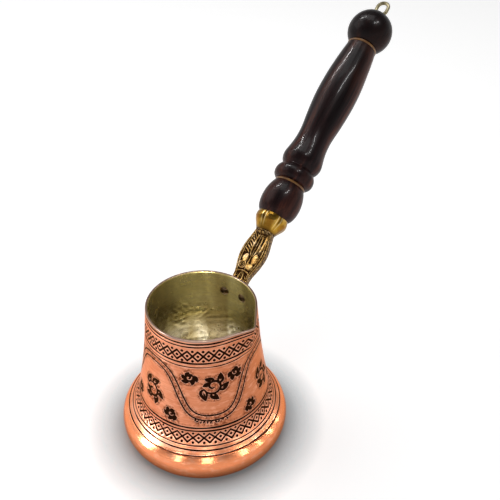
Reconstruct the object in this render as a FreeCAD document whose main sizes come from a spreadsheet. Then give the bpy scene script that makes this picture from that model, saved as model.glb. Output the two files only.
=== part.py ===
"""Long-handled copper coffee pot (cezve), built from separate pieces in millimetres.

Frame: +Z up, origin at the centre of the flat base. The handle rises over +Y and the
pouring spout points along +X. Along the handle, "station" is the distance from the point
where the handle's axis meets the pot wall, and turned pieces are drawn as radius and station.
"""
import FreeCAD, Part
import math
import os
import Sketcher

SIZES = {
    # pot: a spun copper shell with a rolled foot
    "base_r": 49.6,
    "foot_bulge": 4.1,
    "shoulder_r": 48.8,
    "shoulder_z": 19.0,
    "cove_dip": 2.0,
    "neck_r": 41.2,
    "neck_z": 34.5,
    "wall_dip": 0.6,
    "cone_r": 34.8,
    "cone_z": 76.0,
    "rim_r": 33.0,
    "rim_z": 96.5,
    "copper": 1.2,
    "floor": 1.6,
    "tin": 0.3,
    # spout: the rim pushed out to a blunt corner, fading out down the wall
    "spout_reach": 5.9,
    "spout_least": 0.12,
    "spout_foot_z": 72.0,
    "spout_nose_half": 2.0,
    "spout_overlap": 0.2,
    "spout_above": 2.0,
    # handle line
    "axis_y": 33.0,
    "axis_z": 83.4,
    "tilt": 37.0,
    # cast bracket: plate against the wall, flat leaf-shaped arm, round boss
    "plate_low_z": 77.0,
    "plate_high_z": 90.0,
    "plate_thick": 2.0,
    "plate_angle": 36.0,
    "arm_start": -6.0,
    "arm_root_half": 4.6,
    "arm_neck": 13.0,
    "arm_neck_half": 5.5,
    "arm_leaf_rise": 2.9,
    "arm_tip": 43.0,
    "arm_tip_half": 6.2,
    "arm_thick": 5.4,
    "boss_r": 5.7,
    "boss_start": 40.0,
    "boss_end": 46.9,
    "trim_low_z": 40.0,
    "trim_tall": 80.0,
    # rivets through the plate, the wall and the lining
    "rivet_r": 1.5,
    "rivet_hole_r": 1.6,
    "rivet_head_r": 3.1,
    "rivet_head_high": 1.4,
    "rivet_z": 82.6,
    "rivet_turn": 12.0,
    "rivet_sunk": 0.25,
    "rivet_tail_gap": 0.05,
    "drill_start_r": 25.0,
    "drill_long": 20.0,
    # ferrule: a thin cup with a lobed lip
    "ferrule_start": 43.6,
    "ferrule_start_r": 6.9,
    "ferrule_floor": 47.0,
    "ferrule_seat": 48.2,
    "ferrule_seat_r": 6.0,
    "ferrule_wide": 51.5,
    "ferrule_wide_r": 11.0,
    "ferrule_bulge": 0.9,
    "ferrule_lip": 55.8,
    "ferrule_lip_r": 10.6,
    "ferrule_wall": 0.8,
    "notch_r": 2.1,
    "notch_middle": 56.4,
    "notch_deep": 20.0,
    # turned wood, its spacer rings and the rod they are strung on
    "rod_r": 2.0,
    "rod_hole_r": 2.1,
    "rod_start": 37.5,
    "rod_end": 215.5,
    "knob_start": 48.3,
    "knob_start_r": 5.8,
    "knob_seat_r": 9.7,
    "knob_bulge": 3.6,
    "knob_end": 79.0,
    "knob_end_r": 10.3,
    "ring_r": 10.1,
    "ring_long": 1.1,
    "bead_start": 80.1,
    "bead_start_r": 10.4,
    "bead_bulge": 3.0,
    "bead_end": 91.6,
    "bead_end_r": 11.1,
    "lip_bulge": 1.0,
    "lip_end": 99.0,
    "lip_end_r": 13.5,
    "waist_dip": 1.7,
    "swell_start": 133.0,
    "swell_start_r": 12.6,
    "swell_bulge": 2.3,
    "grip_end": 189.6,
    "grip_end_r": 10.2,
    "ball_start": 190.7,
    "ball_start_r": 9.6,
    "ball_low_bulge": 1.5,
    "ball_wide": 203.5,
    "ball_wide_r": 15.4,
    "ball_high_bulge": 3.5,
    "ball_end": 218.4,
    "socket_r": 3.1,
    "socket_start": 208.0,
    # hanging eye: a sleeve nut on the rod with an oval wire loop
    "eye_sleeve_r": 3.0,
    "eye_sleeve_start": 208.3,
    "eye_sleeve_end": 218.4,
    "eye_bore_end": 216.0,
    "eye_wire_r": 1.3,
    "eye_half": 3.9,
    "eye_low": 222.7,
    "eye_high": 224.8,
}

# spout: sections in its loft, how fast it fades out downwards, widest share of its nose
SPOUT_LEVELS = 7
SPOUT_FADE = 1.5
NOSE_SHARE = 0.35

doc = FreeCAD.newDocument("Cezve")


# ---------------------------------------------------------------- sheet and expressions

def write_sheet():
    """Put every driving size in a spreadsheet cell with an alias."""
    sheet = doc.addObject("Spreadsheet::Sheet", "Sizes")
    for row, (alias, value) in enumerate(SIZES.items(), start=1):
        sheet.set(f"A{row}", alias)
        sheet.set(f"B{row}", str(value))
        sheet.setAlias(f"B{row}", alias)
    doc.recompute()


def amount(text):
    """The number that a sum of aliases such as 'rim_r - copper' stands for."""
    total = 0.0
    sign = 1
    for word in text.split():
        if word in "+-":
            sign = 1 if word == "+" else -1
        else:
            total += sign * SIZES[word]
            sign = 1
    return total


def formula(text):
    """The same sum written as an expression on the sheet's cells."""
    words = [word if word in "+-" else "Sizes." + word for word in text.split()]
    return " ".join(words) or "0"


def bind(thing, **rules):
    """Tie properties to sums of aliases; a double underscore in a name stands for a dot."""
    for name, text in rules.items():
        thing.setExpression(name.replace("__", "."), formula(text))


# ---------------------------------------------------------------- sketches and bodies

def new_body(label):
    """An empty body whose label names its file."""
    body = doc.addObject("PartDesign::Body", label)
    body.Label = label
    return body


def origin_feature(body, role):
    """One of a body's own origin planes or axes."""
    for feature in body.Origin.OriginFeatures:
        if feature.Role == role:
            return feature
    raise ValueError(role)


def new_sketch(body, name, role):
    """An empty sketch on one of the body's origin planes."""
    sketch = body.newObject("Sketcher::SketchObject", name)
    sketch.AttachmentSupport = [(origin_feature(body, role), "")]
    sketch.MapMode = "FlatFace"
    return sketch


def bulged(start, end, rise):
    """An arc from start to end that swells by rise to the right of the way it runs."""
    along = end - start
    across = FreeCAD.Vector(along.y, -along.x, 0).normalize()
    middle = (start + end) * 0.5 + across * rise
    return Part.Arc(start, middle, end)


def radius_formula(first, second, rise):
    """The radius of an arc, from its two ends and its rise, as a sheet expression."""
    run = f"(({formula(second[0])}) - ({formula(first[0])}))^2"
    climb = f"(({formula(second[1])}) - ({formula(first[1])}))^2"
    high = formula(rise)
    return f"({run} + {climb}) / (8 * {high}) + {high} / 2"


def pin_vertex(sketch, rules, edge, end, corner):
    """Hold one vertex at its two coordinates, each a sum of aliases or zero."""
    for kind, axis, text in (("DistanceX", -2, corner[0]), ("DistanceY", -1, corner[1])):
        if text == "":
            sketch.addConstraint(Sketcher.Constraint("PointOnObject", edge, end, axis))
            continue
        value = amount(text)
        index = sketch.addConstraint(Sketcher.Constraint(kind, -1, 1, edge, end, value))
        rules.append((index, formula(text)))


def hold_radius(sketch, rules, edge, corner, following):
    """Hold an arc's radius, except a half circle's, which its two ends already give."""
    arc = sketch.Geometry[edge]
    if arc.StartPoint.distanceToPoint(arc.EndPoint) > 1.999 * arc.Radius:
        return
    index = sketch.addConstraint(Sketcher.Constraint("Radius", edge, arc.Radius))
    rules.append((index, radius_formula(corner, following, corner[3])))


def draw_outline(sketch, corners):
    """Draw a closed outline of lines and arcs and hold it with constraints from the sheet.

    A corner is (x, y) or (x, y, side, rise): side is + or - and rise is the height of the
    arc that leads on to the next corner, swelling to the right (+) or the left (-) of it.
    """
    points = [FreeCAD.Vector(amount(c[0]), amount(c[1]), 0) for c in corners]
    rules = []
    ends = []
    for place, corner in enumerate(corners):
        start = points[place]
        end = points[(place + 1) % len(points)]
        if len(corner) == 2:
            edge = sketch.addGeometry(Part.LineSegment(start, end))
        else:
            rise = amount(corner[3]) * (1 if corner[2] == "+" else -1)
            edge = sketch.addGeometry(bulged(start, end, rise))
        flipped = sketch.getPoint(edge, 1).distanceToPoint(start) > 1e-4
        ends.append((edge, 2, 1) if flipped else (edge, 1, 2))
    for place, corner in enumerate(corners):
        edge, first, _ = ends[place]
        before, _, last = ends[place - 1]
        sketch.addConstraint(Sketcher.Constraint("Coincident", before, last, edge, first))
        pin_vertex(sketch, rules, edge, first, corner)
        if len(corner) > 2:
            hold_radius(sketch, rules, edge, corner, corners[(place + 1) % len(corners)])
    for index, text in rules:
        sketch.setExpression(f"Constraints[{index}]", text)


def revolve(body, sketch, name):
    """Turn a sketch once round its own upright axis."""
    turn = body.newObject("PartDesign::Revolution", name)
    turn.Profile = sketch
    turn.ReferenceAxis = (sketch, ["V_Axis"])
    turn.Angle = 360
    sketch.Visibility = False
    return turn


def turned_body(label, corners, on_handle=True):
    """A lathe-turned piece from its half section, drawn as radius and station."""
    body = new_body(label)
    section = new_sketch(body, label + "_section", "XZ_Plane")
    draw_outline(section, corners)
    revolve(body, section, label + "_turning")
    if on_handle:
        lay_on_handle(body)
    return body


def lay_on_handle(thing):
    """Stand a piece drawn along its own Z on the handle's axis."""
    thing.Placement = FreeCAD.Placement(
        FreeCAD.Vector(0, SIZES["axis_y"], SIZES["axis_z"]),
        FreeCAD.Rotation(FreeCAD.Vector(-1, 0, 0), 90 - SIZES["tilt"]))
    bind(thing, Placement__Base__y="axis_y", Placement__Base__z="axis_z")
    thing.setExpression("Placement.Rotation.Angle", "90 deg - Sizes.tilt * 1 deg")


# ---------------------------------------------------------------- Part primitives

def primitive(kind, name, **rules):
    """A Part primitive with its sizes bound to the sheet."""
    solid = doc.addObject("Part::" + kind, name)
    bind(solid, **rules)
    return solid


def joined(name, *solids):
    """One solid fused from several."""
    fusion = doc.addObject("Part::MultiFuse", name)
    fusion.Shapes = list(solids)
    return fusion


def cut(name, base, tool):
    """A solid with another taken out of it."""
    result = doc.addObject("Part::Cut", name)
    result.Base = base
    result.Tool = tool
    return result


# ---------------------------------------------------------------- pot and lining

def shell_corners(outside, inside, low, high):
    """Half section of a shell of revolution between two offsets from the outer surface."""
    return [
        ("", low),
        ("base_r" + outside, low, "+", "foot_bulge"),
        ("shoulder_r" + outside, "shoulder_z", "-", "cove_dip"),
        ("neck_r" + outside, "neck_z", "-", "wall_dip"),
        ("cone_r" + outside, "cone_z"),
        ("rim_r" + outside, "rim_z"),
        ("rim_r" + inside, "rim_z"),
        ("cone_r" + inside, "cone_z", "+", "wall_dip"),
        ("neck_r" + inside, "neck_z", "+", "cove_dip"),
        ("shoulder_r" + inside, "shoulder_z", "-", "foot_bulge"),
        ("base_r" + inside, high),
        ("", high),
    ]


def cone_radius(height):
    """Outer radius of the wall on its straight upper part."""
    slope = (SIZES["cone_r"] - SIZES["rim_r"]) / (SIZES["rim_z"] - SIZES["cone_z"])
    return SIZES["rim_r"] + (SIZES["rim_z"] - height) * slope


def spout_reach(height):
    """How far the spout's corner stands outside the round wall at a height."""
    rise = (height - SIZES["spout_foot_z"]) / (SIZES["rim_z"] - SIZES["spout_foot_z"])
    least = SIZES["spout_least"]
    return least + (SIZES["spout_reach"] - least) * rise ** SPOUT_FADE


def spout_wire(height, reach_height, offset, backing):
    """A crescent: two lines touching the round wall, a blunt nose, and an arc behind."""
    wall = cone_radius(reach_height)
    open_angle = math.acos(wall / (wall + spout_reach(reach_height)))
    touch = wall - offset
    corner = touch / math.cos(open_angle)
    root = touch - backing
    root_x = root * math.cos(open_angle)
    root_y = root * math.sin(open_angle)
    nose_y = min(SIZES["spout_nose_half"], NOSE_SHARE * root_y)
    nose_x = corner - nose_y * math.tan(open_angle)
    tip_x = nose_x + nose_y * math.tan(open_angle / 2)

    def point(x, y):
        return FreeCAD.Vector(x, y, height)

    low_line = Part.LineSegment(point(root_x, -root_y), point(nose_x, -nose_y))
    nose = Part.Arc(point(nose_x, -nose_y), point(tip_x, 0), point(nose_x, nose_y))
    high_line = Part.LineSegment(point(nose_x, nose_y), point(root_x, root_y))
    back = Part.Arc(point(root_x, root_y), point(root, 0), point(root_x, -root_y))
    return Part.Wire([edge.toShape() for edge in (low_line, nose, high_line, back)])


def spout_solid(name, offset, backing, past_rim=False):
    """The spout's volume at an offset from the outer surface, as a loft of crescents."""
    low = SIZES["spout_foot_z"]
    top = SIZES["rim_z"]
    step = (top - low) / (SPOUT_LEVELS - 1)
    heights = [low + step * level for level in range(SPOUT_LEVELS)]
    wires = [spout_wire(height, height, offset, backing) for height in heights]
    if past_rim:
        wires.append(spout_wire(top + SIZES["spout_above"], top, offset, backing))
    solid = doc.addObject("Part::Feature", name)
    solid.Shape = Part.makeLoft(wires, True, True)
    return solid


def rivet_cutter(name, turn):
    """A radial hole's volume through the wall, at an angle from the handle's plane."""
    hole = primitive("Cylinder", name, Radius="rivet_hole_r", Height="drill_long")
    place_radially(hole, turn, SIZES["drill_start_r"])
    return hole


def place_radially(thing, turn, out):
    """Point a piece's Z axis square to the wall at a turn from +Y, starting at radius out."""
    around = math.radians(90 - turn)
    lean = math.degrees(math.atan(
        (SIZES["cone_r"] - SIZES["rim_r"]) / (SIZES["rim_z"] - SIZES["cone_z"])))
    outward = FreeCAD.Vector(math.cos(around), math.sin(around), 0)
    tip_over = FreeCAD.Rotation(FreeCAD.Vector(-outward.y, outward.x, 0), 90 - lean)
    height = SIZES["rivet_z"] + (out - cone_radius(SIZES["rivet_z"])) * math.tan(
        math.radians(lean))
    base = outward * out + FreeCAD.Vector(0, 0, height)
    thing.Placement = FreeCAD.Placement(base, tip_over)


def make_pot(rivet_holes):
    """The copper pot: a spun shell, the spout raised in it, and the rivets' holes."""
    shell = turned_body("pot_shell", shell_corners("", " - copper", "", "floor"), False)
    raised = spout_solid("spout_outside", 0.0, SIZES["copper"] / 2)
    hollow = spout_solid("spout_hollow", SIZES["copper"], SIZES["spout_overlap"], True)
    spouted = cut("pot_spouted", joined("pot_raised", shell, raised), hollow)
    return cut("pot_body", spouted, rivet_holes)


def make_lining(rivet_holes):
    """The tin coating, which follows the copper all over the inside."""
    corners = shell_corners(" - copper", " - copper - tin", "floor", "floor + tin")
    shell = turned_body("lining_shell", corners, False)
    overlap = SIZES["spout_overlap"]
    raised = spout_solid("lining_spout", SIZES["copper"], overlap)
    hollow = spout_solid("lining_hollow", SIZES["copper"] + SIZES["tin"], overlap, True)
    spouted = cut("lining_spouted", joined("lining_raised", shell, raised), hollow)
    return cut("tin_lining", spouted, rivet_holes)


# ---------------------------------------------------------------- bracket and rivets

def make_plate():
    """The bracket's curved plate, lying flat on the conical wall."""
    body = new_body("bracket_plate")
    section = new_sketch(body, "bracket_plate_section", "YZ_Plane")
    low = cone_radius(SIZES["plate_low_z"])
    high = cone_radius(SIZES["plate_high_z"])
    thick = SIZES["plate_thick"]
    corners = ((low, "plate_low_z"), (low + thick, "plate_low_z"),
               (high + thick, "plate_high_z"), (high, "plate_high_z"))
    points = [FreeCAD.Vector(radius, SIZES[level], 0) for radius, level in corners]
    for place, point in enumerate(points):
        section.addGeometry(Part.LineSegment(point, points[(place + 1) % 4]))
    for place, (radius, level) in enumerate(corners):
        section.addConstraint(Sketcher.Constraint("Coincident", place - 1 if place else 3, 2,
                                                  place, 1))
        section.addConstraint(Sketcher.Constraint("DistanceX", -1, 1, place, 1, radius))
        upright = section.addConstraint(
            Sketcher.Constraint("DistanceY", -1, 1, place, 1, SIZES[level]))
        section.setExpression(f"Constraints[{upright}]", formula(level))
    turn = revolve(body, section, "bracket_plate_turning")
    turn.Midplane = True
    bind(turn, Angle="plate_angle")
    return body


def make_arm():
    """The bracket's flat arm, leaf-shaped in plan, drawn across X and along Y."""
    body = new_body("bracket_arm")
    plan = new_sketch(body, "bracket_arm_plan", "XY_Plane")
    draw_outline(plan, [
        ("- arm_root_half", "arm_start"),
        ("arm_root_half", "arm_start"),
        ("arm_neck_half", "arm_neck", "+", "arm_leaf_rise"),
        ("arm_tip_half", "arm_tip"),
        ("- arm_tip_half", "arm_tip", "+", "arm_leaf_rise"),
        ("- arm_neck_half", "arm_neck"),
    ])
    pad = body.newObject("PartDesign::Pad", "bracket_arm_pad")
    pad.Profile = plan
    pad.Midplane = True
    bind(pad, Length="arm_thick")
    body.Placement = FreeCAD.Placement(
        FreeCAD.Vector(0, SIZES["axis_y"], SIZES["axis_z"]),
        FreeCAD.Rotation(FreeCAD.Vector(1, 0, 0), SIZES["tilt"]))
    bind(body, Placement__Base__y="axis_y", Placement__Base__z="axis_z")
    body.setExpression("Placement.Rotation.Angle", "Sizes.tilt * 1 deg")
    return body


def handle_cylinder(name, radius, start, end):
    """A cylinder on the handle's axis between two stations."""
    solid = primitive("Cylinder", name, Radius=radius, Height=end + " - " + start)
    lay_on_handle(solid)
    along = f"Sizes.{start} * cos(Sizes.tilt * 1 deg)"
    upward = f"Sizes.{start} * sin(Sizes.tilt * 1 deg)"
    solid.setExpression("Placement.Base.y", "Sizes.axis_y + " + along)
    solid.setExpression("Placement.Base.z", "Sizes.axis_z + " + upward)
    return solid


def make_bracket(rivet_holes):
    """The cast bracket: plate, arm and boss in one, trimmed to the wall and drilled."""
    wall = primitive("Cone", "wall_trim", Height="trim_tall", Placement__Base__z="trim_low_z")
    wall.Radius1 = cone_radius(SIZES["trim_low_z"])
    wall.Radius2 = cone_radius(SIZES["trim_low_z"] + SIZES["trim_tall"])
    boss = handle_cylinder("bracket_boss", "boss_r", "boss_start", "boss_end")
    casting = joined("bracket_casting", make_plate(), make_arm(), boss)
    trimmed = cut("bracket_trimmed", casting, wall)
    bore = handle_cylinder("bracket_bore", "rod_r", "rod_start", "boss_end")
    drilled = cut("bracket_drilled", trimmed, bore)
    return cut("handle_bracket", drilled, rivet_holes)


def make_rivet(label, turn):
    """A rivet: domed head inside the pot, shank through to the plate's outer face."""
    body = new_body(label)
    section = new_sketch(body, label + "_section", "XZ_Plane")
    head = SIZES["rivet_head_high"]
    head_r = SIZES["rivet_head_r"]
    shank_r = SIZES["rivet_r"]
    long = amount("copper + tin + plate_thick - rivet_tail_gap")
    dome = (head * head + head_r * head_r) / (2 * head)
    halfway = math.asin(head_r / dome) / 2
    point = FreeCAD.Vector
    edges = [
        Part.LineSegment(point(0, 0, 0), point(0, long, 0)),
        Part.LineSegment(point(0, long, 0), point(shank_r, long, 0)),
        Part.LineSegment(point(shank_r, long, 0), point(shank_r, 0, 0)),
        Part.LineSegment(point(shank_r, 0, 0), point(head_r, 0, 0)),
        Part.Arc(point(head_r, 0, 0),
                 point(dome * math.sin(halfway), dome - head - dome * math.cos(halfway), 0),
                 point(0, -head, 0)),
        Part.LineSegment(point(0, -head, 0), point(0, 0, 0)),
    ]
    section.addGeometry(edges)
    revolve(body, section, label + "_turning")
    inner_wall = cone_radius(SIZES["rivet_z"]) - SIZES["copper"] - SIZES["tin"]
    place_radially(body, turn, inner_wall - SIZES["rivet_sunk"])
    return body


# ---------------------------------------------------------------- ferrule and handle

def make_ferrule():
    """A thin turned cup that holds the wood, its lip notched into four lobes."""
    body = turned_body("ferrule", [
        ("boss_r", "ferrule_start"),
        ("ferrule_start_r", "ferrule_start", "+", "ferrule_bulge"),
        ("ferrule_wide_r", "ferrule_wide"),
        ("ferrule_lip_r", "ferrule_lip"),
        ("ferrule_lip_r - ferrule_wall", "ferrule_lip"),
        ("ferrule_wide_r - ferrule_wall", "ferrule_wide"),
        ("ferrule_seat_r", "ferrule_seat"),
        ("rod_hole_r", "ferrule_seat"),
        ("rod_hole_r", "ferrule_floor"),
        ("boss_r", "ferrule_floor"),
    ])
    notch = new_sketch(body, "ferrule_notch", "XZ_Plane")
    middle = FreeCAD.Vector(0, SIZES["notch_middle"], 0)
    circle = notch.addGeometry(Part.Circle(middle, FreeCAD.Vector(0, 0, 1), SIZES["notch_r"]))
    notch.addConstraint(Sketcher.Constraint("PointOnObject", circle, 3, -2))
    station = notch.addConstraint(
        Sketcher.Constraint("DistanceY", -1, 1, circle, 3, SIZES["notch_middle"]))
    wide = notch.addConstraint(Sketcher.Constraint("Radius", circle, SIZES["notch_r"]))
    notch.setExpression(f"Constraints[{station}]", formula("notch_middle"))
    notch.setExpression(f"Constraints[{wide}]", formula("notch_r"))
    pocket = body.newObject("PartDesign::Pocket", "ferrule_notch_cut")
    pocket.Profile = notch
    bind(pocket, Length="notch_deep")
    doc.recompute()
    lobes = body.newObject("PartDesign::PolarPattern", "ferrule_lobes")
    lobes.Originals = [pocket]
    lobes.Axis = (origin_feature(body, "Z_Axis"), [""])
    lobes.Angle = 360
    lobes.Occurrences = 4
    body.Tip = lobes
    return body


def make_knob():
    """The wooden knob in the ferrule."""
    return turned_body("wood_knob", [
        ("rod_hole_r", "knob_start"),
        ("knob_start_r", "knob_start"),
        ("knob_seat_r", "ferrule_wide"),
        ("knob_seat_r", "ferrule_lip", "+", "knob_bulge"),
        ("knob_end_r", "knob_end"),
        ("rod_hole_r", "knob_end"),
    ])


def make_ring(label, start):
    """A thin amber spacer ring in a groove of the handle."""
    return turned_body(label, [
        ("rod_hole_r", start),
        ("ring_r", start),
        ("ring_r", start + " + ring_long"),
        ("rod_hole_r", start + " + ring_long"),
    ])


def make_grip():
    """The long wooden grip, with a bead, a flared lip, a waist and a swell."""
    return turned_body("wood_grip", [
        ("rod_hole_r", "bead_start"),
        ("bead_start_r", "bead_start", "+", "bead_bulge"),
        ("bead_end_r", "bead_end", "+", "lip_bulge"),
        ("lip_end_r", "lip_end", "-", "waist_dip"),
        ("swell_start_r", "swell_start", "+", "swell_bulge"),
        ("grip_end_r", "grip_end"),
        ("rod_hole_r", "grip_end"),
    ])


def make_ball():
    """The wooden ball at the end, bored for the rod and counterbored for the eye."""
    return turned_body("wood_ball", [
        ("rod_hole_r", "ball_start"),
        ("ball_start_r", "ball_start", "+", "ball_low_bulge"),
        ("ball_wide_r", "ball_wide", "+", "ball_high_bulge"),
        ("socket_r", "ball_end"),
        ("socket_r", "socket_start"),
        ("rod_hole_r", "socket_start"),
    ])


def make_rod():
    """The threaded rod that draws the whole handle together."""
    return handle_cylinder("tie_rod", "rod_r", "rod_start", "rod_end")


def make_eye():
    """The hanging eye: a sleeve nut with an oval loop of brass wire."""
    sleeve = turned_body("eye_sleeve", [
        ("rod_r", "eye_sleeve_start"),
        ("eye_sleeve_r", "eye_sleeve_start"),
        ("eye_sleeve_r", "eye_sleeve_end"),
        ("", "eye_sleeve_end"),
        ("", "eye_bore_end"),
        ("rod_r", "eye_bore_end"),
    ])
    body = new_body("eye_loop")
    path = new_sketch(body, "eye_path", "XZ_Plane")
    draw_outline(path, [
        ("eye_half", "eye_low"),
        ("eye_half", "eye_high", "+", "eye_half"),
        ("- eye_half", "eye_high"),
        ("- eye_half", "eye_low", "+", "eye_half"),
    ])
    wire = new_sketch(body, "eye_wire", "XY_Plane")
    wire.AttachmentOffset = FreeCAD.Placement(
        FreeCAD.Vector(0, 0, SIZES["eye_low"]), FreeCAD.Rotation())
    bind(wire, AttachmentOffset__Base__z="eye_low")
    middle = FreeCAD.Vector(SIZES["eye_half"], 0, 0)
    circle = wire.addGeometry(Part.Circle(middle, FreeCAD.Vector(0, 0, 1), SIZES["eye_wire_r"]))
    wire.addConstraint(Sketcher.Constraint("PointOnObject", circle, 3, -1))
    across = wire.addConstraint(
        Sketcher.Constraint("DistanceX", -1, 1, circle, 3, SIZES["eye_half"]))
    thick = wire.addConstraint(Sketcher.Constraint("Radius", circle, SIZES["eye_wire_r"]))
    wire.setExpression(f"Constraints[{across}]", formula("eye_half"))
    wire.setExpression(f"Constraints[{thick}]", formula("eye_wire_r"))
    pipe = body.newObject("PartDesign::AdditivePipe", "eye_pipe")
    pipe.Profile = wire
    pipe.Spine = (path, ["Edge1", "Edge2", "Edge3", "Edge4"])
    lay_on_handle(body)
    return joined("hanging_eye", sleeve, body)


# ---------------------------------------------------------------- the whole pot

def make_all():
    """Every sub-part, in the order they go together."""
    turns = (-SIZES["rivet_turn"], SIZES["rivet_turn"])
    holes = joined("rivet_holes", *[
        rivet_cutter(f"rivet_hole_{number}", turn)
        for number, turn in enumerate(turns, start=1)])
    return [
        make_pot(holes),
        make_lining(holes),
        make_bracket(holes),
        make_rivet("rivet_left", turns[0]),
        make_rivet("rivet_right", turns[1]),
        make_ferrule(),
        make_knob(),
        make_ring("spacer_ring_lower", "knob_end"),
        make_grip(),
        make_ring("spacer_ring_upper", "grip_end"),
        make_ball(),
        make_rod(),
        make_eye(),
    ]


def check(pieces):
    """Stop on any failed feature or broken shape."""
    for thing in doc.Objects:
        bad = [state for state in thing.State if state in ("Invalid", "Error")]
        if bad:
            raise RuntimeError(f"{thing.Name} is {bad}")
    for piece in pieces:
        shape = piece.Shape
        if shape.isNull() or not shape.isValid() or not shape.Solids:
            raise RuntimeError(f"{piece.Label} has no valid solid")
        print(f"{piece.Label}: {len(shape.Solids)} solid, {shape.Volume:.1f} mm3")


write_sheet()
PIECES = make_all()
doc.recompute()
check(PIECES)
os.makedirs("parts", exist_ok=True)
for piece in PIECES:
    piece.Shape.exportStep(f"parts/{piece.Label}.step")
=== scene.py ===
"""Engraved copper coffee pot (cezve) with a long turned handle, dressed over its CAD frame.

Shapes are worked out in millimetres and made in metres. Azimuth on the pot is measured in
degrees anticlockwise from the spout, seen from above, and "station" is the distance along
the handle's axis from the point where it meets the pot.
"""
import math

import bpy
import numpy as np
from mathutils import Matrix, Quaternion, Vector


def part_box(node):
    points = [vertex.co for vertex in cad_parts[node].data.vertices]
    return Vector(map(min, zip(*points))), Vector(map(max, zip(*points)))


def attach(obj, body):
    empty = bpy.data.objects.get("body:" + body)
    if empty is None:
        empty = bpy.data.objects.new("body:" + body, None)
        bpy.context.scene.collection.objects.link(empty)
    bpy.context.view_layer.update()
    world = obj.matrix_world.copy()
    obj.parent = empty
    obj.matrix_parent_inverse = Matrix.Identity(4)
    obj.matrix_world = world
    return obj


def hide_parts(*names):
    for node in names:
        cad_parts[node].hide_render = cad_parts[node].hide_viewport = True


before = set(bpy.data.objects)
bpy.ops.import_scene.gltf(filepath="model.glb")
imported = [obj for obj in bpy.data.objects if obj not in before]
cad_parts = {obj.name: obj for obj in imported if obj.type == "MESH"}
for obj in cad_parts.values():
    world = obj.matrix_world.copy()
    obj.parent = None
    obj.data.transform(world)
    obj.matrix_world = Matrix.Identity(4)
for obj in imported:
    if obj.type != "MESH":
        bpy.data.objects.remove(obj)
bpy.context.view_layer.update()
MM = 0.001
RANDOM = np.random.default_rng(11)

# ---- driving sizes
BASE_R = 49.6
FOOT_BULGE = 4.05
SHOULDER_R, SHOULDER_Z = 48.8, 19.0
COVE_DIP = 2.0
NECK_R, NECK_Z = 41.2, 34.5
WALL_DIP = 0.6
CONE_R, CONE_Z = 34.8, 76.0
RIM_R = 33.0
RIM_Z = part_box("pot_body")[1].z / MM
COPPER, TIN, FLOOR = 1.2, 0.3, 1.6
SPOUT_FOOT_Z, SPOUT_REACH, SPOUT_FADE, SPOUT_NOSE = 72.0, 5.9, 1.5, 0.03
# rings of points narrower than this never take part in the spout
SPOUT_INNER_R = 25
# columns round the pot, and the pitch of its rows on the engraved wall
COLUMNS = 720
ROW_PITCH = 0.32
# mean radius of the wall, for swells that close up round it
MEAN_R = 38
# hole in the wooden pieces and rings, for the tie rod
BORE = 2.2

# stations of the spacer rings' middles, which fix the handle's axis in the frame
LOWER_RING, UPPER_RING = 79.55, 190.15


def middle(node):
    """The middle of a CAD node's box."""
    low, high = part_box(node)
    return (low + high) / 2


ALONG = (middle("spacer_ring_upper") - middle("spacer_ring_lower")).normalized()
ROOT = middle("spacer_ring_lower") - ALONG * LOWER_RING * MM
ACROSS = Vector((1, 0, 0))
UNDER = ALONG.cross(ACROSS)
HANDLE = Matrix((ACROSS, UNDER, ALONG)).transposed().to_4x4()
HANDLE.translation = ROOT


# ---- mesh helpers

def arc(start, end, rise, count):
    """Points of an arc that swells by rise to the right of the way from start to end."""
    start, end = np.array(start, float), np.array(end, float)
    run = end - start
    chord = np.hypot(*run)
    right = np.array([run[1], -run[0]]) / chord
    radius = (chord ** 2 / 4 + rise ** 2) / (2 * abs(rise))
    side = math.copysign(1, rise)
    centre = (start + end) / 2 + right * (rise - side * radius)
    half = math.asin(min(1.0, chord / (2 * radius)))
    turn = np.linspace(-half, half, count)[:, None]
    return centre + radius * (side * right * np.cos(turn) + run / chord * np.sin(turn))


def smooth(points, count):
    """A Catmull-Rom curve through points, at about even steps."""
    points = np.array(points, float)
    padded = np.vstack([2 * points[0] - points[1], points, 2 * points[-1] - points[-2]])
    steps = np.linspace(0, len(points) - 1, count)
    first = np.minimum(steps.astype(int), len(points) - 2)
    t = (steps - first)[:, None]
    a, b, c, d = (padded[first + k] for k in range(4))
    return 0.5 * (2 * b + (c - a) * t + (2 * a - 5 * b + 4 * c - d) * t ** 2
                  + (3 * b - a - 3 * c + d) * t ** 3)


def clamp(values):
    """Values held between 0 and 1."""
    return np.clip(values, 0, 1)


def full_turn(count):
    """Even angles round a full turn."""
    return np.linspace(0, 2 * np.pi, count, endpoint=False)


def round_rows(radius, turn, height):
    """Rings of points from a grid of radii, the angles of its columns and their heights."""
    return np.stack([radius * np.cos(turn), radius * np.sin(turn),
                     np.broadcast_to(height, radius.shape)], -1)


def tube(rows, looped=False, **marks):
    """A closed skin over rings of points (rows, columns, xyz in mm), with marks per point.

    The columns run round each ring. The first and last rings are closed by fans, or joined
    to each other if the tube is looped.
    """
    count, columns = rows.shape[:2]
    points = rows.reshape(-1, 3)
    index = np.arange(count * columns).reshape(count, columns)
    if looped:
        index = np.vstack([index, index[:1]])
    after = np.roll(index, -1, axis=1)
    quads = np.stack([index[:-1], after[:-1], after[1:], index[1:]], -1).reshape(-1, 4)
    fans = np.zeros((0, 3), int)
    if not looped:
        points = np.vstack([points, rows[0].mean(0), rows[-1].mean(0)])
        hubs = np.full((2, columns), count * columns) + np.array([[0], [1]])
        fans = np.vstack([np.stack([after[0], index[0], hubs[0]], -1),
                          np.stack([index[-1], after[-1], hubs[1]], -1)])
    return points, quads, fans, marks


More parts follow.
